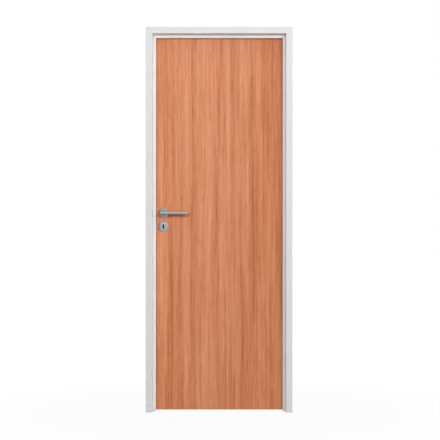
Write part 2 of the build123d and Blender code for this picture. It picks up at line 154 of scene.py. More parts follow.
def map_range(tree: Tree, value: Socket, low: float, high: float, start: float = 0.0, end: float = 1.0,
              **settings: object) -> Socket:
    """Stretch a value from one range to another, clamped at its ends.

    Args:
        tree: the material's node tree.
        value: the value, which runs from start to end.
        low: the result at start.
        high: the result at end.
        start: where the value's range begins.
        end: where it ends.
        **settings: the node's own attributes.

    Returns:
        The socket with the result.
    """
    limits = {"Value": value, "From Min": start, "From Max": end, "To Min": low, "To Max": high}
    return add_node(tree, "ShaderNodeMapRange", limits, **settings).outputs[0]


def uneven_gloss(tree: Tree, pattern: Socket, roughness: float, spread: float) -> Socket:
    """Let the roughness follow a pattern by spread to both sides."""
    return map_range(tree, pattern, roughness - spread, roughness + spread)


def patches(tree: Tree, place: Socket, scales: Triple, detail: float) -> bpy.types.Node:
    """Add a soft noise whose patches have a real size.

    Args:
        tree: the material's node tree.
        place: the coordinates in metres.
        scales: how many patches go in a metre along x, y and z.
        detail: how many finer layers lie on the first.

    Returns:
        The noise.
    """
    run = add_node(tree, "ShaderNodeMapping", {"Vector": place, "Scale": scales})
    return add_node(tree, "ShaderNodeTexNoise", {"Vector": run.outputs[0], "Scale": 1.0, "Detail": detail})


def cells(tree: Tree, place: Socket, scales: Triple) -> tuple[Socket, Socket, Socket]:
    """Add cells of a real size, each with its own random tones.

    Args:
        tree: the material's node tree.
        place: the coordinates in metres.
        scales: how many cells go in a metre along x, y and z.

    Returns:
        The distance from a cell's middle, and two tones that differ from cell to cell.
    """
    run = add_node(tree, "ShaderNodeMapping", {"Vector": place, "Scale": scales})
    field = add_node(tree, "ShaderNodeTexVoronoi", {"Vector": run.outputs[0], "Scale": 1.0})
    tones = add_node(tree, "ShaderNodeSeparateColor", {"Color": field.outputs["Color"]})
    return field.outputs["Distance"], tones.outputs[0], tones.outputs[1]


def two_tones(tree: Tree, share: Socket, first: str, second: str) -> Socket:
    """Blend two sRGB hex colours.

    Args:
        tree: the material's node tree.
        share: 0 where the first colour shows, 1 where the second does.
        first: the first colour.
        second: the second colour.

    Returns:
        The socket with the colour.
    """
    # The node has an A, a B and a result for each kind of value, so those for colours go by number.
    ends = {"Factor": share, 6: linear(first), 7: linear(second)}
    return add_node(tree, "ShaderNodeMix", ends, data_type="RGBA").outputs[2]


def bump(tree: Tree, height: Socket, strength: float, depth: float) -> Socket:
    """Turn a pattern into a fine relief, depth metres deep."""
    return add_node(tree, "ShaderNodeBump", {"Height": height, "Strength": strength, "Distance": depth}).outputs[0]


def in_view(tree: Tree) -> Socket:
    """Tell the rays that show a thing, to the eye, in metal or through glass, from those that carry its light.

    Args:
        tree: the node tree of the floor or the world.

    Returns:
        A socket with 1 for the rays that show it.
    """
    rays = add_node(tree, "ShaderNodeLightPath").outputs
    shown = calc(tree, "MAXIMUM", rays["Is Camera Ray"], rays["Is Glossy Ray"])
    return calc(tree, "MAXIMUM", shown, rays["Is Transmission Ray"])


def empty_material(name: str) -> tuple[bpy.types.Material, Tree, Socket]:
    """Start a material that holds the object's own coordinates.

    Args:
        name: the real material and how its surface was made.

    Returns:
        The material, its node tree and the socket with the coordinates in metres.
    """
    material = bpy.data.materials.new(name)
    material.use_nodes = True
    tree = material.node_tree
    tree.nodes.clear()
    place = add_node(tree, "ShaderNodeTexCoord").outputs["Object"]
    return material, tree, place


def close_material(tree: Tree, kind: str, inputs: dict) -> None:
    """Add a material's shader and link it to the output.

    Args:
        tree: the material's node tree.
        kind: the shader's Blender type.
        inputs: a value or another node's output socket for each input.
    """
    shader = add_node(tree, kind, inputs)
    add_node(tree, "ShaderNodeOutputMaterial", {"Surface": shader.outputs[0]})


@dataclass(frozen=True)
class WoodGrain:
    """Straight-grained wood: broad bands, streaks, faint growth rings and fine fibres that sway a little."""

    name: str
    grain: Grain
    tones: tuple[str, ...]
    roughness: float
    tone_places: tuple[float, ...] = (0.12, 0.4, 0.5, 0.6, 0.88)
    band_mm: float = 150.0
    streak_mm: float = 30.0
    fibre_mm: float = 3.2
    ring_field_mm: tuple[float, float] = (150.0, 1700.0)
    ring_detail: float = 0.6
    ring_count: float = 9.0
    ring_depth: float = 0.035
    pin_field_mm: tuple[float, float] = (16.0, 64.0)
    pin_reach: tuple[float, float] = (0.04, 0.3)
    pin_share: float = 0.4
    pin_depth: float = 0.3
    sway_mm: float = 22.0
    sway_field_mm: tuple[float, float] = (190.0, 800.0)
    gloss_spread: float = 0.06
    relief_strength: float = 0.25
    relief_mm: float = 0.03

    def along(self, width_mm: float, length_mm: float) -> Triple:
        """Turn a pattern's real size across and along the grain into scales.

        Args:
            width_mm: its size across the grain.
            length_mm: its size along the grain.

        Returns:
            The scales along x, y and z, for coordinates in metres.
        """
        if self.grain is Grain.UPRIGHT:
            return per_metre(width_mm, width_mm, length_mm)
        return per_metre(length_mm, width_mm, width_mm)

    def layers(self) -> tuple[tuple[float, float, float, float], ...]:
        """List the layers that make up the grain, the fibres last.

        Returns:
            Each layer's width and length in mm, its detail and its weight.
        """
        return (
            (self.band_mm, 3200.0, 0.0, 0.36),
            (self.band_mm * 0.4, 2400.0, 1.0, 0.5),
            (self.streak_mm, 900.0, 1.0, 0.7),
            (self.streak_mm * 0.36, 460.0, 1.0, 0.58),
            (self.streak_mm * 0.33, 80.0, 1.0, 0.32),
            (self.fibre_mm * 0.25, 14.0, 1.0, 0.3),
            (self.fibre_mm, 110.0, 2.0, 0.52),
        )

    def swayed(self, tree: Tree, place: Socket) -> Socket:
        """Let the pattern sway slowly to both sides, because grain never runs dead straight.

        Args:
            tree: the material's node tree.
            place: the coordinates in metres.

        Returns:
            The swayed coordinates.
        """
        drift = patches(tree, place, self.along(*self.sway_field_mm), detail=1.0).outputs["Color"]
        aside = add_node(tree, "ShaderNodeVectorMath", {0: drift, 1: (NOISE_MEAN,) * 3}, operation="SUBTRACT")
        reach = self.sway_mm / 1000.0
        across = (reach, reach, 0.0) if self.grain is Grain.UPRIGHT else (0.0, reach, reach)
        sway = add_node(tree, "ShaderNodeVectorMath", {0: aside.outputs[0], 1: across}, operation="MULTIPLY")
        return add_node(tree, "ShaderNodeVectorMath", {0: place, 1: sway.outputs[0]}, operation="ADD").outputs[0]

    def material(self) -> bpy.types.Material:
        """Build the wood material.

        Returns:
            A satin surface whose colour follows bands, streaks, rings and fibres.
        """
        material, tree, place = empty_material(self.name)
        run = self.swayed(tree, place)
        # Growth rings cut nearly flat show as long nested arches: the contour lines of a stretched soft field.
        ring_field = patches(tree, run, self.along(*self.ring_field_mm), self.ring_detail).outputs["Fac"]
        turns = calc(tree, "MULTIPLY", calc(tree, "MULTIPLY", ring_field, self.ring_count), 2.0 * math.pi)
        total = calc(tree, "MULTIPLY_ADD", calc(tree, "SINE", turns), self.ring_depth, NOISE_MEAN)
        for width_mm, length_mm, detail, weight in self.layers():
            layer = patches(tree, run, self.along(width_mm, length_mm), detail).outputs["Fac"]
            shade = calc(tree, "MULTIPLY", calc(tree, "SUBTRACT", layer, NOISE_MEAN), weight)
            total = calc(tree, "ADD", total, shade)
        fibres = layer
        # Short dark pin marks, a finger's length or less, are scattered along the fibres.
        distance, chance, _ = cells(tree, run, self.along(*self.pin_field_mm))
        reach = map_range(tree, distance, 1.0, 0.0, *self.pin_reach)
        depth = map_range(tree, chance, 0.0, -self.pin_depth, 1.0 - self.pin_share, 1.0)
        total = calc(tree, "ADD", total, calc(tree, "MULTIPLY", reach, depth))
        ramp = add_node(tree, "ShaderNodeValToRGB", {"Fac": total})
        stops = ramp.color_ramp.elements
        for stop, end in ((stops[0], 0), (stops[1], -1)):
            stop.position, stop.color = self.tone_places[end], linear(self.tones[end])
        for position, tone in zip(self.tone_places[1:-1], self.tones[1:-1]):
            stops.new(position).color = linear(tone)
        close_material(tree, "ShaderNodeBsdfPrincipled", {
            "Base Color": ramp.outputs["Color"], "IOR": POLYMER_IOR,
            "Roughness": uneven_gloss(tree, fibres, self.roughness, self.gloss_spread),
            "Normal": bump(tree, fibres, self.relief_strength, self.relief_mm / 1000.0),
        })
        return material


@dataclass(frozen=True)
class PowderCoat:
    """Baked polyester powder on pressed steel: a low-sheen film with a fine orange-peel ripple."""

    name: str
    face_colour: str
    rebate_painted_light_colour: str
    roughness: float
    left: float
    right: float
    top: float
    face_width: float
    thin_film: float = 0.03
    drift_mm: Triple = (90.0, 90.0, 160.0)
    gloss_spread: float = 0.07
    peel_mm: float = 2.2
    relief_strength: float = 0.18
    relief_mm: float = 0.1
    mitre_width_mm: float = 1.1
    mitre_shade: float = 0.9
    edge_reach: float = 0.0002

    def material(self) -> bpy.types.Material:
        """Build the coating, with the dressed weld line at each mitred corner.

        Returns:
            A pale satin film, a shade darker along the mitres, with painted light inside the opening.
        """
        material, tree, place = empty_material(self.name)
        axes = add_node(tree, "ShaderNodeSeparateXYZ", {"Vector": place}).outputs
        # The weld at each corner was ground flush and sprayed over; it stays as a hairline at 45 degrees.
        down = calc(tree, "SUBTRACT", self.top, axes["Z"])
        lines = []
        for corner_x, sign in ((self.left, 1.0), (self.right, -1.0)):
            out = calc(tree, "MULTIPLY", calc(tree, "SUBTRACT", axes["X"], corner_x), sign)
            off = calc(tree, "ABSOLUTE", calc(tree, "SUBTRACT", out, down))
            lines.append(map_range(tree, off, 1.0, 0.0, end=self.mitre_width_mm / 1000.0))
        seam = calc(tree, "MAXIMUM", *lines)
        peel = patches(tree, place, per_metre(*[self.peel_mm] * 3), detail=2.0).outputs["Fac"]
        # Film thickness drifts over a hand's breadth, which moves the shade by about one part in a hundred.
        drift = patches(tree, place, per_metre(*self.drift_mm), detail=3.0).outputs["Fac"]
        # Inside the opening the coat is a lighter tone than on the faces: painted light, standing in for the stops
        # and reveals catching more light than the faces.
        middle = (self.right + self.left) / 2.0
        half_width = (self.right - self.left) / 2.0 - self.face_width
        aside = calc(tree, "ABSOLUTE", calc(tree, "SUBTRACT", axes["X"], middle))
        inside = calc(tree, "LESS_THAN", aside, half_width + self.edge_reach)
        below = calc(tree, "LESS_THAN", axes["Z"], self.top - self.face_width + self.edge_reach)
        tone = two_tones(tree, calc(tree, "MULTIPLY", inside, below), self.face_colour, self.rebate_painted_light_colour)
        film = calc(tree, "MULTIPLY", map_range(tree, drift, 1.0, 1.0 - self.thin_film),
                    map_range(tree, seam, 1.0, self.mitre_shade))
        colour = add_node(tree, "ShaderNodeVectorMath", {0: tone, 3: film}, operation="SCALE").outputs[0]
        groove = calc(tree, "SUBTRACT", peel, seam)
        close_material(tree, "ShaderNodeBsdfPrincipled", {
            "Base Color": colour, "IOR": POLYMER_IOR,
            "Roughness": uneven_gloss(tree, drift, self.roughness, self.gloss_spread),
            "Normal": bump(tree, groove, self.relief_strength, self.relief_mm / 1000.0),
        })
        return material


@dataclass(frozen=True)
class SatinMetal:
    """Stainless steel with a satin finish from a fine abrasive: soft highlights drawn out across the scratches."""

    name: str
    brushing: Brushing
    colour: str
    scratch_colour: str
    roughness: float
    centre: tuple[float, float] = (0.0, 0.0)
    scratch_mm: float = 0.5
    scratch_length_mm: float = 30.0
    gloss_spread: float = 0.07
    relief_strength: float = 0.3
    relief_mm: float = 0.05

    def rings(self, tree: Tree, place: Socket) -> Socket:
        """Turn the coordinates into the distance from the axis, in x, and the place along it, in y.

        Args:
            tree: the material's node tree.
            place: the coordinates in metres.

        Returns:
            The turned coordinates.
        """
        axes = add_node(tree, "ShaderNodeSeparateXYZ", {"Vector": place}).outputs
        across = calc(tree, "SUBTRACT", axes["X"], self.centre[0])
        above = calc(tree, "SUBTRACT", axes["Z"], self.centre[1])
        flat = add_node(tree, "ShaderNodeCombineXYZ", {"X": across, "Z": above}).outputs[0]
        radius = add_node(tree, "ShaderNodeVectorMath", {0: flat}, operation="LENGTH").outputs["Value"]
        return add_node(tree, "ShaderNodeCombineXYZ", {"X": radius, "Y": axes["Y"]}).outputs[0]

    def material(self) -> bpy.types.Material:
        """Build the metal; the scratches are drawn about five times too wide, or they would not show at all.

        Returns:
            A satin metal with straight or turned scratches.
        """
        material, tree, place = empty_material(self.name)
        thin, long = self.scratch_mm, self.scratch_length_mm
        sizes = {
            Brushing.LEVEL: (long, thin, thin),
            Brushing.UPRIGHT: (thin, thin, long),
            Brushing.TURNED: (thin, thin, thin),
        }
        run = self.rings(tree, place) if self.brushing is Brushing.TURNED else place
        scratches = patches(tree, run, per_metre(*sizes[self.brushing]), detail=3.0).outputs["Fac"]
        close_material(tree, "ShaderNodeBsdfPrincipled", {
            "Base Color": two_tones(tree, scratches, self.colour, self.scratch_colour), "Metallic": 1.0,
            "Roughness": uneven_gloss(tree, scratches, self.roughness, self.gloss_spread),
            "Normal": bump(tree, scratches, self.relief_strength, self.relief_mm / 1000.0),
        })
        return material


@dataclass(frozen=True)
class CrystalSteel:
    """Steel under a zinc or oxide coat: dull crystals of slightly different tone."""

    name: str
    colour: str
    crystal_colour: str
    roughness: float
    crystal_mm: float
    smoother: float = 0.08
    rougher: float = 0.12
    relief_strength: float = 0.2
    relief_mm: float = 0.1

    def material(self) -> bpy.types.Material:
        """Build the coated surface.

        Returns:
            A dull metal broken into crystals.
        """
        material, tree, place = empty_material(self.name)
        distance, tone, sheen = cells(tree, place, per_metre(*[self.crystal_mm] * 3))
        close_material(tree, "ShaderNodeBsdfPrincipled", {
            "Base Color": two_tones(tree, tone, self.colour, self.crystal_colour), "Metallic": 1.0,
            "Roughness": map_range(tree, sheen, self.roughness - self.smoother, self.roughness + self.rougher),
            "Normal": bump(tree, distance, self.relief_strength, self.relief_mm / 1000.0),
        })
        return material


@dataclass(frozen=True)
class Grained:
    """A matt, non-metal surface with fine grains of two tones, such as extruded rubber or pressed chips."""

    name: str
    colour: str
    grain_colour: str
    roughness: float
    grain_mm: float
    grain_length_mm: float
    relief_mm: float
    ior: float = 1.52
    gloss_spread: float = 0.08
    relief_strength: float = 0.3

    def material(self) -> bpy.types.Material:
        """Build the matt surface.

        Returns:
            A matt material with grains that run along z.
        """
        material, tree, place = empty_material(self.name)
        sizes = (self.grain_mm, self.grain_mm, self.grain_length_mm)
        grains = patches(tree, place, per_metre(*sizes), detail=4.0).outputs["Fac"]
        close_material(tree, "ShaderNodeBsdfPrincipled", {
            "Base Color": two_tones(tree, grains, self.colour, self.grain_colour), "IOR": self.ior,
            "Roughness": uneven_gloss(tree, grains, self.roughness, self.gloss_spread),
            "Normal": bump(tree, grains, self.relief_strength, self.relief_mm / 1000.0),
        })
        return material


def dress_node(node_name: str, material: bpy.types.Material) -> None:
    """Give one CAD node its finish.

    Args:
        node_name: the node's name in the frame.
        material: the finish that takes all its material slots.
    """
    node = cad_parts[node_name]
    if not node.material_slots:
        node.data.materials.append(material)
    for slot in node.material_slots:
        slot.material = material
    LOG.info("dressed %s in %s", node_name, material.name)


def deselect_all() -> None:
    """Leave object mode with nothing selected."""
    if bpy.context.object is not None and bpy.context.object.mode != "OBJECT":
        bpy.ops.object.mode_set(mode="OBJECT")
    bpy.ops.object.select_all(action="DESELECT")


def pick(piece: bpy.types.Object) -> None:
    """Select one piece alone and make it the active one.

    Args:
        piece: the object that the next operators work on.
    """
    deselect_all()
    piece.select_set(True)
    bpy.context.view_layer.objects.active = piece


def settle(piece: bpy.types.Object) -> None:
    """Move a piece's place, turn and scale into its mesh."""
    pick(piece)
    bpy.ops.object.transform_apply(location=True, rotation=True, scale=True)


def select_faces(piece: bpy.types.Object, normal: Vector, offset: float, reach: float = 1e-5) -> None:
    """Select, in edit mode, the faces that look one way and lie at one distance along it.

    Args:
        piece: the object that is being edited.
        normal: the way that the faces look.
        offset: their distance from the origin along that way, in metres.
        reach: how far off that distance a face may lie.
    """
    bpy.ops.mesh.select_mode(type="FACE")
    bpy.ops.mesh.select_all(action="DESELECT")
    bpy.ops.object.mode_set(mode="OBJECT")
    for face in piece.data.polygons:
        near = abs(face.center.dot(normal) - offset) < reach
        face.select = near and face.normal.dot(normal) > SAME_WAY
    bpy.ops.object.mode_set(mode="EDIT")


def carve(body: bpy.types.Object, cutter: bpy.types.Object) -> None:
    """Cut one object out of another, and delete the cutter.

    Args:
        body: the object that is cut.
        cutter: the object that cuts it.
    """
    pick(body)
    cut = body.modifiers.new("cut", "BOOLEAN")
    cut.operation = "DIFFERENCE"
    cut.solver = "EXACT"
    cut.object = cutter
    bpy.ops.object.modifier_apply(modifier=cut.name)
    bpy.data.objects.remove(cutter, do_unlink=True)


@dataclass
class CountersunkScrew:
    """A flush wood or metal screw: the face of its head with a cross recess, a hair proud of its plate."""

    head_radius: float = 0.004
    head_height: float = 0.0009
    dome: float = 0.00025
    # Inset and rise of each ring of the domed face, as shares of the radius and the dome.
    rings: tuple[tuple[float, float], ...] = ((0.12, 0.6), (0.25, 0.3))
    slot_width: float = 0.0013
    slot_length: float = 0.0048
    slot_depth: float = 0.0007
    slot_foot: float = 0.8

    def model(self) -> bpy.types.Object:
        """Model one head at the origin, looking up.

        Returns:
            The head, its underside below the origin so that it sinks into its plate.
        """
        deselect_all()
        bpy.ops.mesh.primitive_cylinder_add(
            vertices=32, radius=self.head_radius, depth=self.head_height,
            location=(0.0, 0.0, self.dome - self.head_height / 2.0),
        )
        head = bpy.context.object
        settle(head)
        bpy.ops.object.mode_set(mode="EDIT")
        select_faces(head, UP, self.dome)
        top = self.dome
        for inset, rise in self.rings:
            bpy.ops.mesh.inset(thickness=self.head_radius * inset)
            bpy.ops.transform.translate(value=(0.0, 0.0, self.dome * rise))
            top += self.dome * rise
        bpy.ops.object.mode_set(mode="OBJECT")
        for length, width in ((self.slot_length, self.slot_width), (self.slot_width, self.slot_length)):
            self.cut_slot(head, length, width, top)
        bpy.ops.object.shade_smooth_by_angle(angle=SMOOTH_BELOW)
        return head

    def cut_slot(self, head: bpy.types.Object, length: float, width: float, top: float) -> None:
        """Cut one arm of the cross recess, narrower at its foot.

        Args:
            head: the screw's head.
            length: the arm's length along x.
            width: the arm's width along y.
            top: the height of the head's highest face.
        """
        deselect_all()
        depth = self.slot_depth * 2.0
        bpy.ops.mesh.primitive_cube_add(size=1.0, location=(0.0, 0.0, top), scale=(length, width, depth))
        cutter = bpy.context.object
        settle(cutter)
        bpy.ops.object.mode_set(mode="EDIT")
        select_faces(cutter, -UP, self.slot_depth - top)
        bpy.ops.transform.resize(value=(self.slot_foot, self.slot_foot, 1.0))
        bpy.ops.object.mode_set(mode="OBJECT")
        carve(head, cutter)


@dataclass
class SetScrew:
    """A small grub screw with a hexagon socket, set in the underside of a lever's neck."""

    radius: float = 0.0025
    rounding: float = 0.15
    proud: float = 0.0001
    length: float = 0.003
    socket_radius: float = 0.0014
    socket_depth: float = 0.0016

    def model(self) -> bpy.types.Object:
        """Model one grub screw at the origin, its socket looking up.

        Returns:
            The screw, its shank below the origin.
        """
        deselect_all()
        bpy.ops.mesh.primitive_cylinder_add(
            vertices=24, radius=self.radius, depth=self.length,
            location=(0.0, 0.0, self.proud - self.length / 2.0),
        )
        screw = bpy.context.object
        settle(screw)
        bpy.ops.object.mode_set(mode="EDIT")
        select_faces(screw, UP, self.proud)
        bpy.ops.mesh.bevel(offset=self.radius * self.rounding, segments=2, affect="EDGES")
        deselect_all()
        bpy.ops.mesh.primitive_cylinder_add(
            vertices=6, radius=self.socket_radius, depth=self.socket_depth * 2.0,
            location=(0.0, 0.0, self.proud),
        )
        carve(screw, bpy.context.object)
        bpy.ops.object.shade_smooth_by_angle(angle=SMOOTH_BELOW)
        return screw


def end_places(low: Vector, high: Vector, facing: Facing) -> list[Vector]:
    """Find the places of two screws, one near each end of an upright plate.

    Args:
        low: the lower corner of the plate's box.
        high: its upper corner.
        facing: the way that the plate's face looks, left or right.

    Returns:
        The lower and the upper place, in the middle of the plate's width.
    """
    face = high.x if facing is Facing.RIGHT else low.x
    middle_y = (low.y + high.y) / 2.0
    return [Vector((face, middle_y, z)) for z in (low.z + SCREW_FROM_END, high.z - SCREW_FROM_END)]


def set_fixings(name: str, pattern: bpy.types.Object, places: list[Vector], facing: Facing, body: str,
                finish: bpy.types.Material) -> None:
    """Copy a fixing to each of its places and join the copies into one piece that rides on its body.

    Args:
        name: the new piece's name.
        pattern: the fixing modelled at the origin, looking up.
        places: where the heads' faces lie.
        facing: the way that they look.
        body: the CAD body that carries them.
        finish: their material.
    """
    turn = UP.rotation_difference(Vector(facing.value)).to_matrix().to_4x4()
    copies = []
    for number, place in enumerate(places):
        mesh = pattern.data.copy()
        # No two screws stop at the same turn.
        twist = Matrix.Rotation(FIRST_TWIST + TWIST_STEP * number, 4, "Z")
        mesh.transform(Matrix.Translation(place) @ turn @ twist)
        copy = bpy.data.objects.new(f"{name}_{number}", mesh)
        bpy.context.scene.collection.objects.link(copy)
        copies.append(copy)
    pick(copies[0])
    for copy in copies[1:]:
        copy.select_set(True)
    if len(copies) > 1:
        bpy.ops.object.join()
    piece = bpy.context.view_layer.objects.active
    piece.name = name
    piece.data.name = name
    piece.data.materials.clear()
    piece.data.materials.append(finish)
    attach(piece, body)
    LOG.info("set %d fixings as %s on %s", len(places), name, body)


@dataclass
class SteelFrame:
    """The pressed steel frame: two jambs and a head with a stop, its seals, anchors and strike."""

    face_width: float = 0.034
    members: tuple[str, ...] = ("hinge_jamb", "lock_jamb", "frame_head")
    seals: tuple[str, ...] = ("hinge_side_seal", "lock_side_seal", "head_seal")
    zinc_pieces: tuple[str, ...] = (
        "hinge_jamb_foot_anchor", "lock_jamb_foot_anchor", "strike_box", "top_hinge_reinforcement",
        "middle_hinge_reinforcement", "bottom_hinge_reinforcement",
    )

    def dress(self) -> None:
        """Coat the frame, and finish its seals and its zinc-coated inner pieces."""
        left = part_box("lock_jamb")[0].x
        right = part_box("hinge_jamb")[1].x
        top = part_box("frame_head")[1].z
        # Powder-coated steel in pale grey: even, low sheen, soft along the bends; the lighter grey inside the
        # opening is painted light.
        coat = PowderCoat(
            "pressed_steel_powder_coated_pale_grey", "#DCDCDC", "#E7E7E7", roughness=0.48,
            left=left, right=right, top=top, face_width=self.face_width,
        ).material()
        for member in self.members:
            dress_node(member, coat)
        # Extruded EPDM rubber: dark grey, matt, with faint draw lines along its run.
        rubber = Grained(
            "epdm_rubber_extruded_dark_grey", "#3B3C3E", "#4A4B4D", roughness=0.72,
            grain_mm=0.9, grain_length_mm=25.0, relief_mm=0.03,
        ).material()
        for seal in self.seals:
            dress_node(seal, rubber)
        # Hot-dip galvanised steel: dull grey zinc crystals about a thumb's width across.
        zinc = CrystalSteel(
            "steel_hot_dip_galvanised", "#9DA2A5", "#BFC4C6", roughness=0.42, crystal_mm=14.0,
        ).material()
        for piece in self.zinc_pieces:
            dress_node(piece, zinc)

    def fix_strike(self, screw: bpy.types.Object, steel: bpy.types.Material) -> None:
        """Screw the strike plate to the lock jamb.

        Args:
            screw: the countersunk screw's pattern.
            steel: the finish of the plate and its screws.
        """
        dress_node("strike_plate", steel)
        low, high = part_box("strike_plate")
        places = end_places(low, high, Facing.RIGHT)
        set_fixings("strike_plate_screws", screw, places, Facing.RIGHT, "frame", steel)


@dataclass
class HingeSet:
    """Three butt hinges on the rear edge, each with a frame leaf, a door leaf and a pin."""

    plate_thickness: float = 0.003
    hinges: tuple[str, ...] = ("top", "middle", "bottom")
    screw_rows: tuple[float, ...] = (-0.038, -0.014, 0.014, 0.038)
    screw_near: float = 0.009
    screw_far: float = 0.019

    def build(self, screw: bpy.types.Object, steel: bpy.types.Material) -> None:
        """Finish the hinges and set four staggered screws in each plate.

        Args:
            screw: the countersunk screw's pattern.
            steel: the finish of hinges, pins and screws.
        """
        leaf_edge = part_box("hinge_stile")[1].x
        for hinge in self.hinges:
            for part in ("frame_leaf", "door_leaf", "pin"):
                dress_node(f"{hinge}_hinge_{part}", steel)
            for part, body, facing in (("frame_leaf", "frame", Facing.LEFT), ("door_leaf", "leaf", Facing.RIGHT)):
                low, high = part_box(f"{hinge}_hinge_{part}")
                face = high.x - self.plate_thickness if facing is Facing.LEFT else leaf_edge
                middle_z = (low.z + high.z) / 2.0
                places = []
                for number, row in enumerate(self.screw_rows):
                    back = self.screw_near if number % 2 == 0 else self.screw_far
                    places.append(Vector((face, low.y + back, middle_z + row)))
                set_fixings(f"{hinge}_hinge_{part}_screws", screw, places, facing, body, steel)


@dataclass
class DoorLeaf:
    """The flush leaf: two laminate faces on stiles, rails and a core, with its mortice lock."""

    faces: tuple[str, ...] = ("front_face_panel", "rear_face_panel")
    stiles: tuple[str, ...] = ("hinge_stile", "lock_stile")
    rails: tuple[str, ...] = ("top_rail", "bottom_rail")
    face_tones: tuple[str, ...] = ("#AC623C", "#C2774D", "#C97D55", "#CE845C", "#DA956F")
    lipping_tones: tuple[str, ...] = ("#99522F", "#AE643D", "#B66C43", "#BE744A", "#CB8359")

    def dress(self) -> None:
        """Face the leaf in wood-grain laminate and lip its edges in solid wood."""
        # High-pressure laminate with a warm, straight-grained wood print: satin, reddish brown, upright bands.
        laminate = WoodGrain(
            "laminate_wood_print_pressed_satin", Grain.UPRIGHT, self.face_tones, roughness=0.5,
        ).material()
        for face in self.faces:
            dress_node(face, laminate)
        # Solid hardwood lipping, planed and lacquered: a shade deeper than the faces, grain along each member.
        for members, grain in ((self.stiles, Grain.UPRIGHT), (self.rails, Grain.LEVEL)):
            lipping = WoodGrain(
                f"hardwood_lipping_planed_{grain.value}", grain, self.lipping_tones, roughness=0.52,
                band_mm=60.0, streak_mm=9.0, fibre_mm=2.2, ring_field_mm=(60.0, 1700.0),
            ).material()
            for member in members:
                dress_node(member, lipping)
        # Pressed chipboard: pale straw flakes, seen only if the leaf is cut open.
        chips = Grained(
            "chipboard_pressed_raw", "#B9976B", "#DCC39A", roughness=0.85,
            grain_mm=4.0, grain_length_mm=7.0, relief_mm=0.3,
        ).material()
        dress_node("leaf_core", chips)

    def fit_lock(self, screw: bpy.types.Object, steel: bpy.types.Material) -> None:
        """Finish the mortice lock and screw its forend to the leaf's edge.

        Args:
            screw: the countersunk screw's pattern.
            steel: the finish of forend, bolts and screws.
        """
        # Black-oxide sheet steel, greased, darkened to nearly black as painted shade, so that the keyhole reads as
        # a dark slot.
        case = CrystalSteel(
            "sheet_steel_black_oxide_greased_and_painted_shade", "#0C0C0D", "#151516", roughness=0.6, crystal_mm=5.0,
        ).material()
        dress_node("lock_case", case)
        for part in ("lock_forend", "latch_bolt", "dead_bolt"):
            dress_node(part, steel)
        low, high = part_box("lock_forend")
        places = end_places(low, high, Facing.LEFT)
        set_fixings("lock_forend_screws", screw, places, Facing.LEFT, "leaf", steel)


@dataclass
class LeverFurniture:
    """Levers, rosettes and key escutcheons on both faces of the leaf, and the spindle between the levers."""

    neck_radius: float = 0.0085
    set_screw_out: float = 0.016
    roughness: float = 0.3
    # Colour of the steel and of its scratches; the rosettes' darker grey is painted shade of the levers over them.
    grip_tones: tuple[str, str] = ("#ACAAA6", "#928F8B")
    rosette_painted_shade_tones: tuple[str, str] = ("#959A9E", "#7F8589")
    escutcheon_tones: tuple[str, str] = ("#B2B2B3", "#9C9D9E")
    sides: tuple[str, ...] = ("front", "rear")

    def dress(self, steel: bpy.types.Material) -> None:
        """Give the levers a straight satin finish and the round pieces a turned one.

        Args:
            steel: the plain satin finish, for the spindle.
        """
        # Satin stainless steel, brushed along the grip: a soft bright line along it.
        straight = SatinMetal("stainless_steel_brushed_along_grip", Brushing.LEVEL, *self.grip_tones,
                              self.roughness).material()
        for side in self.sides:
            dress_node(f"{side}_lever", straight)
        dress_node("spindle", steel)
        # The rosettes' tones are darker than the escutcheons': painted shade of the levers.
        for plate, tones in (("rosette", self.rosette_painted_shade_tones), ("escutcheon", self.escutcheon_tones)):
            low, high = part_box(f"front_{plate}")
            middle = (low + high) / 2.0
            # Satin stainless steel, turned: fine rings round the centre, so that the light fans out from it.
            turned = SatinMetal(f"stainless_steel_turned_{plate}", Brushing.TURNED, *tones, self.roughness,
                                (middle.x, middle.z)).material()
            for side in self.sides:
                dress_node(f"{side}_{plate}", turned)

    def set_levers(self, grub: bpy.types.Object, steel: bpy.types.Material) -> None:
        """Fix each lever to the spindle with a grub screw under its neck.

        Args:
            grub: the grub screw's pattern.
            steel: its finish.
        """
        low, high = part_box("spindle")
        axis = (low + high) / 2.0
        leaf_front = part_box("front_face_panel")[0].y
        leaf_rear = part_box("rear_face_panel")[1].y
        for side, y in (("front", leaf_front - self.set_screw_out), ("rear", leaf_rear + self.set_screw_out)):
            place = Vector((axis.x, y, axis.z - self.neck_radius))
            set_fixings(f"{side}_lever_set_screw", grub, [place], Facing.DOWN, "lever_pair", steel)


@dataclass(frozen=True)
class SoftBox:
    """A rectangular lamp that looks at the middle of the door."""

    name: str
    place: Triple
    width: float
    height: float
    watts: float
    # Reflections show such a lamp and it lights nothing; with the others it is the other way round.
    only_in_metal: bool = False

    def hang(self) -> None:
        """Hang the lamp and turn it to the door."""
        data = bpy.data.lights.new(self.name, "AREA")
        data.shape = "RECTANGLE"
        data.size = self.width
        data.size_y = self.height
        data.energy = self.watts
        lamp = bpy.data.objects.new(self.name, data)
        bpy.context.scene.collection.objects.link(lamp)
        lamp.location = self.place
        lamp.rotation_euler = (CENTRE - Vector(self.place)).to_track_quat("-Z", "Y").to_euler()
        # A lamp that lights the door stays out of reflections, because it would burn out the flat plates.
        lamp.visible_glossy = self.only_in_metal
        lamp.visible_diffuse = not self.only_in_metal
        LOG.info("hung %s", self.name)


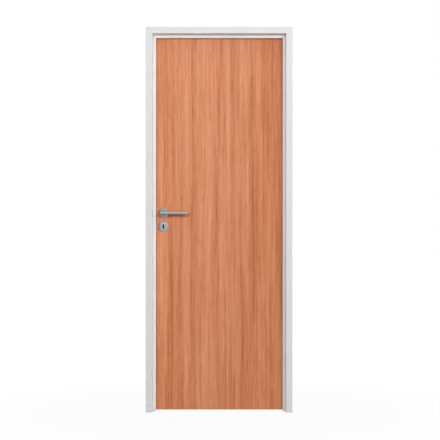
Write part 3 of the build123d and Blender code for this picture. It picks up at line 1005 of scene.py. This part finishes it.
@dataclass
class Studio:
    """A white floor and background, soft lights round the door, strips that only metal shows, and the camera."""

    picture_px: float = 440.0
    camera_place: Triple = (-0.2615, -5.855, 0.86)
    lens_mm: float = 89.5
    sensor_mm: float = 36.0
    axis_px: tuple[float, float] = (239.85, 250.4)
    roll_degrees: float = 0.02
    ambient: float = 0.08
    floor_radius: float = 5.0
    floor_colour: str = "#8C8C8C"
    floor_white_near: float = 0.96
    floor_fade: tuple[float, float] = (0.5, 1.6)
    lamps: tuple[SoftBox, ...] = (
        # One wide, low soft box in front, a little to the right, shades the leaf along both jambs.
        SoftBox("front_soft_box", (0.7, -6.2, 2.4), 9.4, 1.4, 412.0),
        SoftBox("rear_soft_box", (-0.9, 6.2, 2.0), 5.0, 2.0, 320.0),
        # Three weak ones light the edges, the reveals and the top; they graze the faces and hardly touch them.
        SoftBox("right_soft_box", (6.0, -0.6, 1.6), 2.0, 3.0, 140.0),
        SoftBox("left_soft_box", (-6.5, 2.0, 1.6), 2.0, 3.0, 140.0),
        SoftBox("top_soft_box", (CENTRE.x, -2.4, 5.6), 2.5, 2.0, 42.0),
        # A dim strip above eye level, front and rear, shows in reflections only, as a bright line on upper curves.
        SoftBox("front_strip", (CENTRE.x, -4.0, 3.6), 6.0, 2.0, 55.0, only_in_metal=True),
        SoftBox("rear_strip", (CENTRE.x, 4.0, 3.6), 6.0, 2.0, 55.0, only_in_metal=True),
    )

    def build(self) -> None:
        """Set the floor, the world, the lamps and the camera."""
        self.lay_floor()
        self.set_world()
        for lamp in self.lamps:
            lamp.hang()
        self.place_camera()

    def lay_floor(self) -> None:
        """Lay the round white floor, which keeps a soft shadow near the door and fades out to white."""
        deselect_all()
        middle = (CENTRE.x, 0.0, 0.0)
        bpy.ops.mesh.primitive_circle_add(vertices=96, radius=self.floor_radius, fill_type="NGON", location=middle)
        floor = bpy.context.object
        floor.name = "studio_floor"
        settle(floor)
        # Matt studio floor: white to the eye and in metal, grey to the light that it throws back.
        material, tree, place = empty_material("studio_floor_matt_white")
        reach = add_node(tree, "ShaderNodeVectorMath", {0: place, 1: middle}, operation="DISTANCE")
        fade = map_range(tree, reach.outputs["Value"], self.floor_white_near, 1.0, *self.floor_fade,
                         interpolation_type="SMOOTHSTEP")
        matt = add_node(tree, "ShaderNodeBsdfDiffuse", {"Color": linear(self.floor_colour)})
        white = add_node(tree, "ShaderNodeEmission", {"Color": linear(WHITE), "Strength": 1.0})
        close_material(tree, "ShaderNodeMixShader", {
            0: calc(tree, "MULTIPLY", fade, in_view(tree)), 1: matt.outputs[0], 2: white.outputs[0],
        })
        floor.data.materials.append(material)
        LOG.info("laid %s", floor.name)

    def set_world(self) -> None:
        """Make the world white to the eye and in reflections, and a plain soft light to everything else."""
        world = bpy.data.worlds.new("studio_world")
        bpy.context.scene.world = world
        world.use_nodes = True
        tree = world.node_tree
        tree.nodes.clear()
        strength = map_range(tree, in_view(tree), self.ambient, 1.0)
        sky = add_node(tree, "ShaderNodeBackground", {"Color": linear(WHITE), "Strength": strength})
        add_node(tree, "ShaderNodeOutputWorld", {"Surface": sky.outputs[0]})

    def place_camera(self) -> None:
        """Stand the camera level before the door; its shift puts the door where the picture has it."""
        data = bpy.data.cameras.new("camera")
        data.sensor_width = self.sensor_mm
        data.lens = self.lens_mm
        data.shift_x = -(self.axis_px[0] - self.picture_px / 2.0) / self.picture_px
        data.shift_y = (self.axis_px[1] - self.picture_px / 2.0) / self.picture_px
        camera = bpy.data.objects.new("camera", data)
        bpy.context.scene.collection.objects.link(camera)
        camera.matrix_world = (
            Matrix.Translation(self.camera_place)
            @ Matrix.Rotation(math.radians(90.0), 4, "X")
            @ Matrix.Rotation(math.radians(self.roll_degrees), 4, "Z")
        )
        bpy.context.scene.camera = camera


def main() -> None:
    """Dress the frame, hang the leaf's finishes and fixings on it, and set the studio."""
    logging.basicConfig(level=logging.INFO, format="%(name)s: %(message)s")
    bpy.context.scene.view_settings.view_transform = "Standard"
    # Satin stainless steel, brushed upright: a plain grey sheen on hinges, forend, strike and small fixings.
    steel = SatinMetal(
        "stainless_steel_brushed_upright", Brushing.UPRIGHT, "#B2B1AE", "#999895", roughness=0.32,
    ).material()
    screw = CountersunkScrew().model()
    grub = SetScrew().model()
    steel_frame = SteelFrame()
    steel_frame.dress()
    steel_frame.fix_strike(screw, steel)
    HingeSet().build(screw, steel)
    leaf = DoorLeaf()
    leaf.dress()
    leaf.fit_lock(screw, steel)
    furniture = LeverFurniture()
    furniture.dress(steel)
    furniture.set_levers(grub, steel)
    for pattern in (screw, grub):
        bpy.data.objects.remove(pattern, do_unlink=True)
    Studio().build()


if __name__ == "__main__":
    main()
